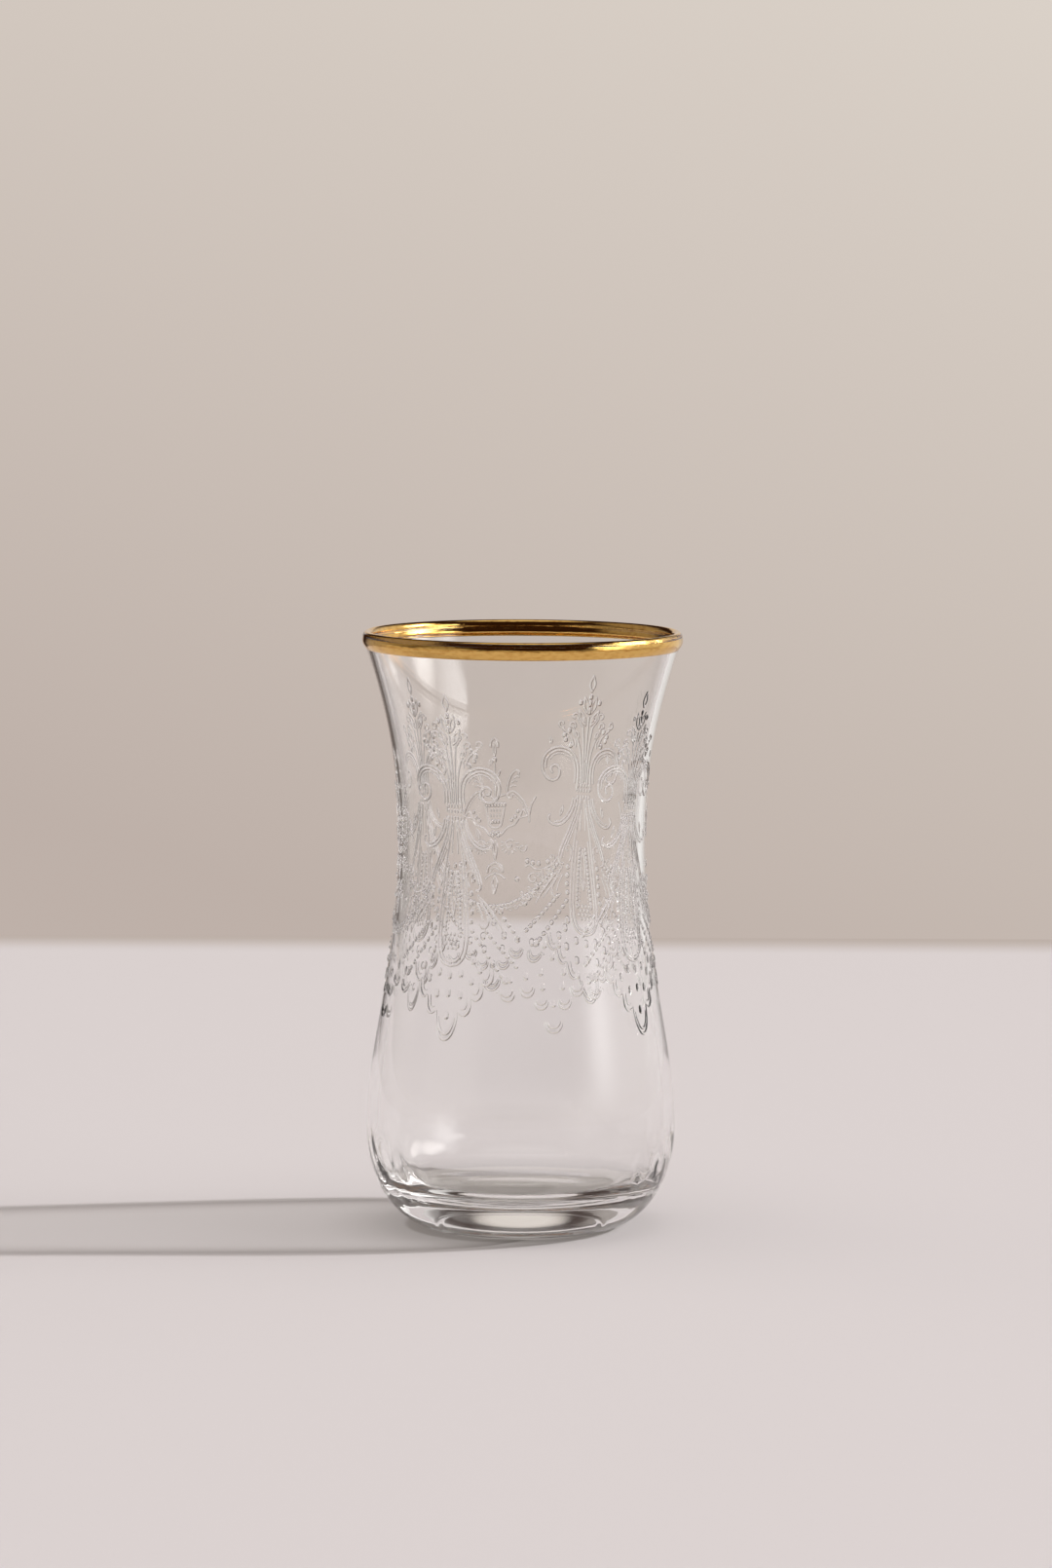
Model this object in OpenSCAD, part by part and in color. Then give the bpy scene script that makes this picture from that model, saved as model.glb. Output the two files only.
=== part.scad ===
/* [Glass body] */
// Height of the glass from the table to the top of the lip
height = 105; // [90:0.5:125]
// Outer diameter at the lip
lip_d = 56.1; // [50:0.1:64]
// Angle of the flared lip, measured from the vertical
lip_flare = 17; // [8:0.5:28]
// Outer diameter at the waist, the narrowest place
waist_d = 43.5; // [38:0.1:49]
// Height of the waist above the table
waist_z = 68.5; // [58:0.5:76]
// Outer diameter at the belly, the widest place below the waist
belly_d = 54.6; // [50:0.1:62]
// Height of the belly above the table
belly_z = 17.9; // [14:0.1:24]
// Diameter of the flat foot, where the rounded heel leaves the table
foot_d = 31; // [27:0.5:38]

/* [Wall and base] */
// Thickness of the rounded lip
lip_t = 1.5; // [1.2:0.05:2.2]
// Wall thickness at the waist
waist_t = 1.25; // [1:0.05:2]
// Wall thickness at the belly
belly_t = 2.1; // [1:0.05:3]
// Thickness of the heavy base at its centre, above the hollow underneath
floor_t = 6.6; // [5:0.1:12]
// Diameter of the level middle of the inside floor
floor_d = 26; // [8:0.5:30]
// Diameter of the shallow hollow under the base
punt_d = 23; // [16:0.5:26]
// Depth of the shallow hollow under the base
punt_h = 0.5; // [0.3:0.05:1.5]

/* [Curve of the wall] */
// How far the belly stays full on its way up, as a share of the rise to the waist
belly_fullness = 0.257; // [0.15:0.005:0.45]
// How far below itself the waist stays narrow, as a share of the same rise
waist_fullness = 0.435; // [0.25:0.005:0.55]
// How far above itself the waist stays narrow, as a share of the rise to the lip
neck_fullness = 0.452; // [0.25:0.005:0.6]
// How long the flare runs straight below the lip, as a share of the same rise
flare_fullness = 0.282; // [0.15:0.005:0.4]
// How square the inside corner between floor and wall is
corner_fullness = 0.85; // [0.45:0.01:0.9]

/* [Gold rim] */
// Depth of the gold on the outside, below the top of the lip
gold_out_h = 3; // [1.8:0.1:8]
// Depth of the gold on the inside, below the top of the lip
gold_in_h = 2.2; // [1.8:0.1:8]
// Thickness of the gold coat
gold_t = 0.1; // [0.05:0.01:0.3]

/* [Hidden] */
$fn = 180;

// Steps along each curve of the section, and round the lip
curve_steps = 24;
lip_steps = 12;

// A cubic curve: its point, and the unit normal on the right of its travel
function curve_at(c, t) =
    pow(1 - t, 3) * c[0] + 3 * pow(1 - t, 2) * t * c[1] + 3 * (1 - t) * t * t * c[2] + pow(t, 3) * c[3];
function curve_run(c, t) =
    pow(1 - t, 2) * (c[1] - c[0]) + 2 * (1 - t) * t * (c[2] - c[1]) + t * t * (c[3] - c[2]);
function right_of(v) = [v[1], -v[0]] / norm(v);

// Points of a curve between two shares of its length, set off to its right
function curve_points(c, from = 0, to = 1, off = 0) = [
    for (i = [0:curve_steps])
        let (t = from + (to - from) * i / curve_steps)
        curve_at(c, t) + off * right_of(curve_run(c, t))
];

// The share of a rising curve at which it reaches a height
function share_at(c, z, low = 0, high = 1, rounds = 40) =
    rounds == 0 ? (low + high) / 2
    : curve_at(c, (low + high) / 2)[1] < z ? share_at(c, z, (low + high) / 2, high, rounds - 1)
    : share_at(c, z, low, (low + high) / 2, rounds - 1);

// A curve that leaves a upright and reaches b along a direction
function wall_curve(a, b, leave, arrive, lean) =
    let (rise = b[1] - a[1])
    [a, a + [0, leave * rise], b - arrive * rise * [sin(lean), cos(lean)], b];

// A corner that leaves a level and reaches b upright
function corner_curve(a, b, fullness) =
    [a, [a[0] + fullness * (b[0] - a[0]), a[1]], [b[0], b[1] - fullness * (b[1] - a[1])], b];

// A quarter of an ellipse is a corner of this fullness
round_corner = 4 / 3 * (sqrt(2) - 1);

// Outside of the section, from the foot up to where the lip starts to turn over
lip_centre = [(lip_d - lip_t) / 2, height - lip_t / 2];
lip_side = [cos(lip_flare), -sin(lip_flare)];
lip_outside = lip_centre + lip_t / 2 * lip_side;
lip_inside = lip_centre - lip_t / 2 * lip_side;
heel = corner_curve([foot_d / 2, 0], [belly_d / 2, belly_z], round_corner);
body_out = wall_curve([belly_d / 2, belly_z], [waist_d / 2, waist_z], belly_fullness, waist_fullness, 0);
neck_out = wall_curve([waist_d / 2, waist_z], lip_outside, neck_fullness, flare_fullness, lip_flare);

// Inside of the section, which follows the outside at the wall thickness
floor_z = punt_h + floor_t;
belly_in = [belly_d / 2 - belly_t, belly_z];
waist_in = [waist_d / 2 - waist_t, waist_z];
floor_corner = corner_curve([floor_d / 2, floor_z], belly_in, corner_fullness);
body_in = wall_curve(belly_in, waist_in, belly_fullness, waist_fullness, 0);
neck_in = wall_curve(waist_in, lip_inside, neck_fullness, flare_fullness, lip_flare);

// The lip turned over from outside to inside, at a distance off the glass
function lip_points(off) = [
    for (i = [1:lip_steps - 1])
        let (turn = 180 * i / lip_steps - lip_flare)
        lip_centre + (lip_t / 2 + off) * [cos(turn), sin(turn)]
];

// The hollow under the base is part of a ball
punt_r = (pow(punt_d / 2, 2) + pow(punt_h, 2)) / (2 * punt_h);
punt_sweep = asin(punt_d / 2 / punt_r);
function punt_points() = [
    for (i = [0:curve_steps])
        let (turn = punt_sweep * i / curve_steps)
        [punt_r * sin(turn), punt_h - punt_r * (1 - cos(turn))]
];

function backwards(points) = [for (i = [len(points) - 1:-1:0]) points[i]];
function without_first(points) = [for (i = [1:len(points) - 1]) points[i]];
function without_last(points) = [for (i = [0:len(points) - 2]) points[i]];

// Where the gold ends on the outside and on the inside of the flared neck
gold_out_share = share_at(neck_out, height - gold_out_h);
gold_in_share = share_at(neck_in, height - gold_in_h);

// One blown piece of clear glass with a heavy base
module glass_vessel() {
    color([0.85, 0.88, 0.87, 0.45])
        rotate_extrude()
            polygon(concat(
                punt_points(),
                curve_points(heel),
                without_first(curve_points(body_out)),
                without_first(without_last(curve_points(neck_out, 0, gold_out_share))),
                curve_points(neck_out, gold_out_share, 1),
                lip_points(0),
                backwards(curve_points(neck_in, gold_in_share, 1)),
                without_first(backwards(curve_points(neck_in, 0, gold_in_share))),
                without_first(backwards(curve_points(body_in))),
                without_first(backwards(curve_points(floor_corner))),
                [[0, floor_z]]
            ));
}

// Coat of gold fired on over the lip
module gold_rim() {
    color([0.83, 0.62, 0.28])
        rotate_extrude()
            polygon(concat(
                curve_points(neck_out, gold_out_share, 1, gold_t),
                lip_points(gold_t),
                backwards(curve_points(neck_in, gold_in_share, 1, -gold_t)),
                curve_points(neck_in, gold_in_share, 1),
                backwards(lip_points(0)),
                backwards(curve_points(neck_out, gold_out_share, 1))
            ));
}

glass_vessel();
gold_rim();
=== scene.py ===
import math

import bmesh
import bpy
import numpy as np
from mathutils import Matrix, Vector
from mathutils.geometry import delaunay_2d_cdt


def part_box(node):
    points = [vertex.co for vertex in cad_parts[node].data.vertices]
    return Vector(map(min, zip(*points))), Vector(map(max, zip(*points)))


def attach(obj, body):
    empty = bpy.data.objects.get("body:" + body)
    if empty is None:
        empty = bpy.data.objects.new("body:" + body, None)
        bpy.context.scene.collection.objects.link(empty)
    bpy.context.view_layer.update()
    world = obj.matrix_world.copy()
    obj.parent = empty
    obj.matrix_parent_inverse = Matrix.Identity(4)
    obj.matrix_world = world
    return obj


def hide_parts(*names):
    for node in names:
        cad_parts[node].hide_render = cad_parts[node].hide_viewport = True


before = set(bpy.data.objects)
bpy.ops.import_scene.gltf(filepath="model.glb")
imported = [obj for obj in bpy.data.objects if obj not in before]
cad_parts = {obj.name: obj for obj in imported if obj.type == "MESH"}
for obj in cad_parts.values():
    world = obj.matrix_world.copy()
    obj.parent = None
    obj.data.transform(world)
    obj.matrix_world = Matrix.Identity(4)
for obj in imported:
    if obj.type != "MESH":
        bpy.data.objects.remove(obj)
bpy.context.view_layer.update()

# The stage: a pale matt table with a soft far edge, a warm grey wall that glows with painted shade near the
# table and on the left, a low sun and a tall soft window on the right, and a dim room with a few paler
# sides. None of it belongs to the glass.

MM = 0.001
scene = bpy.context.scene
scene.view_settings.view_transform = "Standard"
scene.cycles.max_bounces = 32
scene.cycles.glossy_bounces = 24
scene.cycles.transmission_bounces = 24
scene.cycles.caustics_refractive = False
scene.cycles.caustics_reflective = False

image_height = 1610           # pixels
focal_length = 5558.9         # pixels
camera_place = (0.70 * MM, -946.2 * MM, 176.96 * MM)
camera_dip = 0.1041           # radians below the horizon
camera_roll = 0.0045          # radians
sensor = 36.0
nearest_seen = 0.01

camera_data = bpy.data.cameras.new("camera")
camera_data.sensor_width = sensor
camera_data.lens = sensor * focal_length / image_height
camera_data.clip_start = nearest_seen
camera = bpy.data.objects.new("camera", camera_data)
scene.collection.objects.link(camera)
turn_down = Matrix.Rotation(math.pi / 2 - camera_dip, 4, "X")
camera.matrix_world = Matrix.Translation(camera_place) @ turn_down @ Matrix.Rotation(camera_roll, 4, "Z")
scene.camera = camera


def put(tree, kind, inputs=None, **settings):
    """Adds a node to a tree. Each input is a plain value or another node's output socket."""
    node = tree.nodes.new(kind)
    for name, value in settings.items():
        setattr(node, name, value)
    for name, value in (inputs or {}).items():
        if isinstance(value, bpy.types.NodeSocket):
            tree.links.new(value, node.inputs[name])
        else:
            node.inputs[name].default_value = value
    return node


def reckoned(tree, operation, *values):
    """The result of a Math node."""
    return put(tree, "ShaderNodeMath", dict(enumerate(values)), operation=operation).outputs[0]


def eased(tree, value, start, full):
    """A share that is 0 at one value and 1 at another, with a soft change between them."""
    return put(
        tree, "ShaderNodeMapRange", {"Value": value, "From Min": start, "From Max": full},
        interpolation_type="SMOOTHSTEP",
    ).outputs[0]


def blended(tree, share, under, over):
    """One colour changed into another by a share."""
    return put(tree, "ShaderNodeMix", {0: share, 6: under, 7: over}, data_type="RGBA").outputs[2]


def new_material(name):
    """A material with an empty tree, and the tree."""
    material = bpy.data.materials.new(name)
    material.use_nodes = True
    material.node_tree.nodes.clear()
    return material, material.node_tree


def mesh_object(name, vertices, faces, edges=()):
    mesh = bpy.data.meshes.new(name)
    mesh.from_pydata([tuple(v) for v in vertices], [tuple(e) for e in edges], [tuple(f) for f in faces])
    obj = bpy.data.objects.new(name, mesh)
    scene.collection.objects.link(obj)
    return obj


table_edge_y = 383.5 * MM
table_z = -0.1 * MM
table_half_width, table_front_y = 0.36, -0.5
table_colour = (0.665, 0.63, 0.645, 1)
table_far_colour = (0.51, 0.435, 0.39, 1)
table_fade = 30 * MM
wall_y = 2200 * MM
wall_half_width = 0.8
wall_foot, wall_top = -1.5, 0.95
wall_full_half, wall_full_top = 0.5, 0.7           # beyond these the wall fades away
# Painted shade on the wall: it glows darker low down and on the left, and paler up high and on the right.
wall_shaded_colour = (0.515, 0.437, 0.395, 1)
wall_lit_colour = (0.70, 0.635, 0.575, 1)
wall_darkest, wall_palest = -0.269, 0.404          # levels of the two colours
wall_slant = 0.35                                  # how far the right side counts as higher up

table = mesh_object(
    "table",
    [(-table_half_width, table_front_y, table_z), (table_half_width, table_front_y, table_z),
     (table_half_width, table_edge_y, table_z), (-table_half_width, table_edge_y, table_z)],
    [(0, 1, 2, 3)],
)
wall = mesh_object(
    "wall",
    [(-wall_half_width, wall_y, wall_foot), (wall_half_width, wall_y, wall_foot),
     (wall_half_width, wall_y, wall_top), (-wall_half_width, wall_y, wall_top)],
    [(0, 3, 2, 1)],
)


def table_cloth():
    """Pale matt cloth that fades into the wall at its far edge, as a blurred edge does."""
    material, tree = new_material("table_cloth")
    place = put(tree, "ShaderNodeTexCoord").outputs["Object"]
    depth = put(tree, "ShaderNodeSeparateXYZ", {0: place}).outputs["Y"]
    share = eased(tree, depth, table_edge_y - table_fade, table_edge_y)
    cloth = put(tree, "ShaderNodeBsdfDiffuse", {"Color": table_colour})
    far = put(tree, "ShaderNodeEmission", {"Color": table_far_colour})
    mix = put(tree, "ShaderNodeMixShader", {0: share, 1: cloth.outputs[0], 2: far.outputs[0]})
    put(tree, "ShaderNodeOutputMaterial", {"Surface": mix.outputs[0]})
    return material


def glowing_wall():
    """A wall that glows in its colour, with painted shade: a little darker near the table and on the left.
    """
    material, tree = new_material("wall_glow_painted_shade")
    place = put(tree, "ShaderNodeTexCoord").outputs["Object"]
    side, _, level = put(tree, "ShaderNodeSeparateXYZ", {0: place}).outputs
    slanted = reckoned(tree, "MULTIPLY_ADD", side, wall_slant, level)
    share = put(
        tree, "ShaderNodeMapRange", {"Value": slanted, "From Min": wall_darkest, "From Max": wall_palest}
    ).outputs[0]
    colour = blended(tree, share, wall_shaded_colour, wall_lit_colour)
    glow = put(tree, "ShaderNodeEmission", {"Color": colour, "Strength": 1.0})
    across = eased(tree, reckoned(tree, "ABSOLUTE", side), wall_half_width, wall_full_half)
    upward = eased(tree, level, wall_top, wall_full_top)
    shown = reckoned(tree, "MULTIPLY", across, upward)
    clear = put(tree, "ShaderNodeBsdfTransparent")
    mix = put(tree, "ShaderNodeMixShader", {0: shown, 1: clear.outputs[0], 2: glow.outputs[0]})
    put(tree, "ShaderNodeOutputMaterial", {"Surface": mix.outputs[0]})
    return material


table.data.materials.append(table_cloth())
wall.data.materials.append(glowing_wall())


def aimed(light, place):
    """Hangs a light at a place and turns it towards the foot of the glass."""
    obj = bpy.data.objects.new(light.name, light)
    scene.collection.objects.link(obj)
    obj.location = place
    obj.rotation_euler = (-Vector(place)).to_track_quat("-Z", "Y").to_euler()
    return obj


low_sun = bpy.data.lights.new("low_sun", "SUN")
low_sun.energy = 3.7
low_sun.color = (1.0, 0.97, 0.93)
low_sun.angle = math.radians(1.5)
aimed(low_sun, (0.88, 0.09, 0.47))

overhead = bpy.data.lights.new("overhead", "AREA")
overhead.energy = 3.0
overhead.color = (1.0, 0.97, 0.95)
overhead.shape = "RECTANGLE"
overhead.size = 1.6
overhead.size_y = 1.6
overhead_lamp = aimed(overhead, (0, 0, 1.6))
overhead_lamp.visible_glossy = False
overhead_lamp.visible_transmission = False

window_place, window_target = (1.13, -0.41, 0.45), (0, 0, 0.3)
window_width, window_height = 0.85, 1.0
window_glow = 3.0
pane_edge = 0.5                                    # shares of the pane, from its middle
far_full, ends_full = 0.3, 0.2
bulge_level, bulge_flat, bulge_end = 0.07, 0.07, 0.18
bulge_out, bulge_in = 0.4, -0.1


def window_panel():
    """A tall bright panel, soft at its top, foot and far side, which bulges on its near side."""
    corners = [(-pane_edge, -pane_edge, 0), (pane_edge, -pane_edge, 0),
               (pane_edge, pane_edge, 0), (-pane_edge, pane_edge, 0)]
    panel = mesh_object("window", corners, [(0, 1, 2, 3)])
    turn = (Vector(window_target) - Vector(window_place)).to_track_quat("Z", "Y").to_matrix().to_4x4()
    size = Matrix.Diagonal((window_width, window_height, 1, 1))
    panel.matrix_world = Matrix.Translation(window_place) @ turn @ size
    material, tree = new_material("window_light")
    place = put(tree, "ShaderNodeTexCoord").outputs["Object"]
    across, level, _ = put(tree, "ShaderNodeSeparateXYZ", {0: place}).outputs
    far_side = eased(tree, across, -pane_edge, far_full)
    off_bulge = reckoned(tree, "ABSOLUTE", reckoned(tree, "SUBTRACT", level, bulge_level))
    near_edge = put(
        tree, "ShaderNodeMapRange",
        {"Value": off_bulge, "From Min": bulge_flat, "From Max": bulge_end, "To Min": bulge_out,
         "To Max": bulge_in},
    ).outputs[0]
    near_side = eased(tree, across, pane_edge, near_edge)
    ends = eased(tree, reckoned(tree, "ABSOLUTE", level), pane_edge, ends_full)
    shown = reckoned(tree, "MULTIPLY", reckoned(tree, "MULTIPLY", far_side, near_side), ends)
    strength = reckoned(tree, "MULTIPLY", shown, window_glow)
    light = put(tree, "ShaderNodeEmission", {"Color": (1, 1, 1, 1), "Strength": strength})
    clear = put(tree, "ShaderNodeBsdfTransparent")
    both = put(tree, "ShaderNodeAddShader", {0: light.outputs[0], 1: clear.outputs[0]})
    put(tree, "ShaderNodeOutputMaterial", {"Surface": both.outputs[0]})
    panel.data.materials.append(material)
    panel.visible_shadow = False


window_panel()

world = bpy.data.worlds.new("room")
world.use_nodes = True
scene.world = world
sky = world.node_tree
way = put(sky, "ShaderNodeTexCoord").outputs["Generated"]
dark_room = (0.030, 0.014, 0.009, 1)
bright_side = (0.85, 0.82, 0.79)
sun_glow = (6.0, 5.8, 5.6)
far_floor_colour = (0.60, 0.54, 0.50, 1)


def brighter_towards(under, direction, start, full, colour):
    """The colour under it, changed to another one in the directions near a given one."""
    facing = put(sky, "ShaderNodeVectorMath", {0: way, 1: direction}, operation="DOT_PRODUCT")
    return blended(sky, eased(sky, facing.outputs["Value"], start, full), under, (*colour, 1))


# In turn: the right side, the ceiling, the left side in front, above and behind, and the sun's own glow.
room = brighter_towards(dark_room, (0.9, 0.3, -0.3), 0.32, 0.75, bright_side)
room = brighter_towards(room, (0, 0, 1), 0.86, 0.98, bright_side)
room = brighter_towards(room, (-0.84, -0.53, -0.12), 0.83, 0.97, (0.34, 0.31, 0.28))
room = brighter_towards(room, (-0.84, 0.25, 0.48), 0.80, 0.97, (0.34, 0.30, 0.27))
room = brighter_towards(room, (-0.77, 0.58, -0.26), 0.84, 0.96, (0.42, 0.38, 0.35))
room = brighter_towards(room, (0.878, 0.09, 0.469), 0.955, 0.995, sun_glow)

# The floor of the room goes on below the table's level, on the near side and at both sides.
_, depth_way, up_way = put(sky, "ShaderNodeSeparateXYZ", {0: way}).outputs
near_by = eased(sky, depth_way, 0.62, 0.3)
low_down = eased(sky, up_way, 0.06, -0.03)
room = blended(sky, reckoned(sky, "MULTIPLY", near_by, low_down), room, far_floor_colour)
sky.links.new(room, sky.nodes["Background"].inputs["Color"])


# The glass: one piece of clear glass blown in a mould, with a heavy rounded base, a full belly, a narrow
# waist and a flared lip. Its wall carries a lace ornament of rounded strokes, raised by up to 0.3 mm. It
# stands free on its foot, a flat ring round a shallow hollow.

_, glass_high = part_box("glass_vessel")
height = glass_high.z / MM
lip_r = glass_high.x / MM
lip_t = 1.5
lip_flare = math.radians(17)
waist = np.array([21.75, 68.5])
belly = np.array([27.3, 17.9])
foot_r = 15.5
waist_t = 1.25
belly_t = 2.1
punt_r, punt_h = 11.5, 0.5
floor_r, floor_z = 13.0, 7.1
belly_fullness, waist_fullness = 0.257, 0.435
neck_fullness, flare_fullness = 0.452, 0.282
corner_fullness = 0.85
round_corner = 4 / 3 * (math.sqrt(2) - 1)


def bezier(a, b, c, d, steps):
    t = np.linspace(0, 1, steps + 1)[:, None]
    return (1 - t) ** 3 * a + 3 * (1 - t) ** 2 * t * b + 3 * (1 - t) * t ** 2 * c + t ** 3 * d


def corner_curve(a, b, fullness, steps):
    """A corner that leaves a level and reaches b upright."""
    return bezier(a, a + [fullness * (b[0] - a[0]), 0], b - [0, fullness * (b[1] - a[1])], b, steps)


def wall_curve(a, b, leave, arrive, lean, steps):
    """A curve that leaves a upright and reaches b at a lean."""
    rise = b[1] - a[1]
    arrival = arrive * rise * np.array([math.sin(lean), math.cos(lean)])
    return bezier(a, a + [0, leave * rise], b - arrival, b, steps)


lip_centre = np.array([lip_r - lip_t / 2, height - lip_t / 2])
lip_side = np.array([math.cos(lip_flare), -math.sin(lip_flare)])
lip_inside_r = lip_r - lip_t
foot = np.array([foot_r, 0.0])
inner_belly = belly - [belly_t, 0]
inner_waist = waist - [waist_t, 0]
floor_edge = np.array([floor_r, floor_z])

lip_outside = lip_centre + lip_t / 2 * lip_side
lip_inside = lip_centre - lip_t / 2 * lip_side

outside = np.concatenate([
    corner_curve(foot, belly, round_corner, steps=32),
    wall_curve(belly, waist, belly_fullness, waist_fullness, 0, steps=64)[1:],
    wall_curve(waist, lip_outside, neck_fullness, flare_fullness, lip_flare, steps=48)[1:],
])
inside = np.concatenate([
    corner_curve(floor_edge, inner_belly, corner_fullness, steps=28),
    wall_curve(inner_belly, inner_waist, belly_fullness, waist_fullness, 0, steps=30)[1:],
    wall_curve(inner_waist, lip_inside, neck_fullness, flare_fullness, lip_flare, steps=26)[1:],
])
lip_turn = np.linspace(-lip_flare, math.pi - lip_flare, 17)[1:-1]
lip = lip_centre + lip_t / 2 * np.stack([np.cos(lip_turn), np.sin(lip_turn)], 1)

# The floor has a faint ring mark, and its steps are closest together there.
floor_steps = np.array([0, 2.5, 5, 7.5, 9.2, 9.8, 10.1, 10.4, 10.7, 11.0, 11.3, 11.8, 12.4])
ring_mark_r, ring_mark_h, ring_mark_wide = 10.55, 0.05, 0.22
ring_mark = ring_mark_h * np.exp(-((floor_steps - ring_mark_r) / ring_mark_wide) ** 2)
floor_line = np.stack([floor_steps, floor_z + ring_mark], 1)
punt_ball = (punt_r ** 2 + punt_h ** 2) / (2 * punt_h)
punt_turn = np.linspace(0, math.asin(punt_r / punt_ball), 13)
punt = np.stack([punt_ball * np.sin(punt_turn), punt_h - punt_ball * (1 - np.cos(punt_turn))], 1)
foot_ring = np.stack([np.linspace(punt_r, foot_r, 5)[1:-1], np.zeros(3)], 1)

steps_round = 192
same_place = 1e-6             # points nearer than this, in metres, become one
front_axis = math.radians(-31.8)      # the main motif nearest the front, round from -Y


def turning_tree():
    """Turns a section, drawn as a line of points (radius, 0, height), once round the upright axis."""
    tree = bpy.data.node_groups.new("turn_section", "GeometryNodeTree")
    tree.interface.new_socket("Section", in_out="INPUT", socket_type="NodeSocketGeometry")
    steps = tree.interface.new_socket("Steps", in_out="INPUT", socket_type="NodeSocketInt")
    steps.default_value = 64
    start = tree.interface.new_socket("Start angle", in_out="INPUT", socket_type="NodeSocketFloat")
    finish = tree.interface.new_socket("Material", in_out="INPUT", socket_type="NodeSocketMaterial")
    tree.interface.new_socket("Turned", in_out="OUTPUT", socket_type="NodeSocketGeometry")
    given = put(tree, "NodeGroupInput").outputs
    count = put(tree, "GeometryNodeAttributeDomainSize", {"Geometry": given["Section"]})
    rows = count.outputs["Point Count"]
    columns = reckoned(tree, "ADD", given["Steps"], 1.0)
    grid = put(tree, "GeometryNodeMeshGrid", {"Vertices X": rows, "Vertices Y": columns})
    index = put(tree, "GeometryNodeInputIndex").outputs[0]
    row = reckoned(tree, "FLOOR", reckoned(tree, "DIVIDE", index, columns))
    column = reckoned(tree, "MODULO", index, columns)
    step_angle = reckoned(tree, "DIVIDE", 2 * math.pi, given["Steps"])
    angle = reckoned(tree, "MULTIPLY_ADD", column, step_angle, given["Start angle"])
    place = put(tree, "GeometryNodeInputPosition").outputs[0]
    point = put(
        tree, "GeometryNodeSampleIndex", {"Geometry": given["Section"], "Value": place, "Index": row},
        data_type="FLOAT_VECTOR", domain="POINT",
    )
    turned = put(
        tree, "ShaderNodeVectorRotate", {"Vector": point.outputs[0], "Angle": angle}, rotation_type="Z_AXIS"
    )
    placed = put(
        tree, "GeometryNodeSetPosition", {"Geometry": grid.outputs["Mesh"], "Position": turned.outputs[0]}
    )
    merged = put(
        tree, "GeometryNodeMergeByDistance", {"Geometry": placed.outputs[0], "Distance": same_place}
    )
    real = put(tree, "GeometryNodeRealizeInstances", {"Geometry": merged.outputs[0]})
    painted = put(
        tree, "GeometryNodeSetMaterial", {"Geometry": real.outputs[0], "Material": given["Material"]}
    )
    put(tree, "NodeGroupOutput", {"Turned": painted.outputs[0]})
    return tree, steps.identifier, start.identifier, finish.identifier


turn_section, steps_input, start_input, material_input = turning_tree()


def plain_mesh(obj, tree, values):
    """Runs a Geometry Nodes tree on an object and returns the result as a plain mesh; the object goes."""
    modifier = obj.modifiers.new(tree.name, "NODES")
    modifier.node_group = tree
    for identifier, value in values.items():
        modifier[identifier] = value
    graph = bpy.context.evaluated_depsgraph_get()
    made = bpy.data.meshes.new_from_object(
        obj.evaluated_get(graph), preserve_all_data_layers=True, depsgraph=graph
    )
    bpy.data.objects.remove(obj)
    return made


def turned_mesh(name, section, material):
    points = [(r * MM, 0, z * MM) for r, z in section]
    line = mesh_object(name, points, [], [(i, i + 1) for i in range(len(points) - 1)])
    start_angle = front_axis - math.pi / 2
    values = {steps_input: steps_round, start_input: start_angle, material_input: material}
    return plain_mesh(line, turn_section, values)


shadow_through, shadow_grazing = (0.955, 0.955, 0.95, 1), (0.60, 0.59, 0.57, 1)
shadow_under = (0.62, 0.605, 0.585, 1)
under_from, under_full = 0.9 * MM, 0.55 * MM       # the levels of the underside


def clear_glass_material():
    """Clear soda-lime glass with the faint waves of a blown wall. In its shadow the light goes straight on,
    dimmed where it grazes the wall and under the foot."""
    material, tree = new_material("clear_glass")
    where = put(tree, "ShaderNodeTexCoord").outputs["Object"]
    waves = put(tree, "ShaderNodeTexNoise", {"Vector": where, "Scale": 60.0, "Detail": 1.0})
    bump = put(tree, "ShaderNodeBump", {"Height": waves.outputs[0], "Strength": 0.02, "Distance": 0.001})
    glass = put(
        tree, "ShaderNodeBsdfPrincipled",
        {"Base Color": (1, 1, 1, 1), "Roughness": 0.0, "IOR": 1.52, "Transmission Weight": 1.0,
         "Normal": bump.outputs[0]},
    )
    path = put(tree, "ShaderNodeLightPath")
    graze = put(tree, "ShaderNodeLayerWeight", {"Blend": 0.5}).outputs["Facing"]
    veil = blended(tree, eased(tree, graze, 0.25, 0.95), shadow_through, shadow_grazing)
    level = put(tree, "ShaderNodeSeparateXYZ", {0: where}).outputs["Z"]
    veil = blended(tree, eased(tree, level, under_from, under_full), veil, shadow_under)
    clear = put(tree, "ShaderNodeBsdfTransparent", {"Color": veil})
    mix = put(
        tree, "ShaderNodeMixShader",
        {0: path.outputs["Is Shadow Ray"], 1: glass.outputs[0], 2: clear.outputs[0]},
    )
    put(tree, "ShaderNodeOutputMaterial", {"Surface": mix.outputs[0]})
    return material


glass_finish = clear_glass_material()

# The lace is drawn flat, in millimetres round the wall and up it, on one eighth of the way round: from the
# middle of a main motif to the middle of the field beside it.

flat_r = 22.5
eighth = flat_r * math.pi / 4
lace_low, lace_high = 34.0, 97.5
line_step, curl_step, loop_step = 0.42, 0.32, 0.38


def smooth(*points):
    """An even row of points on a smooth line through the given ones."""
    p = np.array(points, float)
    ends = np.concatenate([[2 * p[0] - p[1]], p, [2 * p[-1] - p[-2]]])
    t = np.linspace(0, 1, 13)[:-1, None]
    runs = [
        0.5 * (2 * b + (c - a) * t + (2 * a - 5 * b + 4 * c - d) * t ** 2
               + (3 * b - a - 3 * c + d) * t ** 3)
        for a, b, c, d in zip(ends, ends[1:], ends[2:], ends[3:])
    ]
    return evenly(np.concatenate(runs + [p[-1:]]), line_step)


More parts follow.
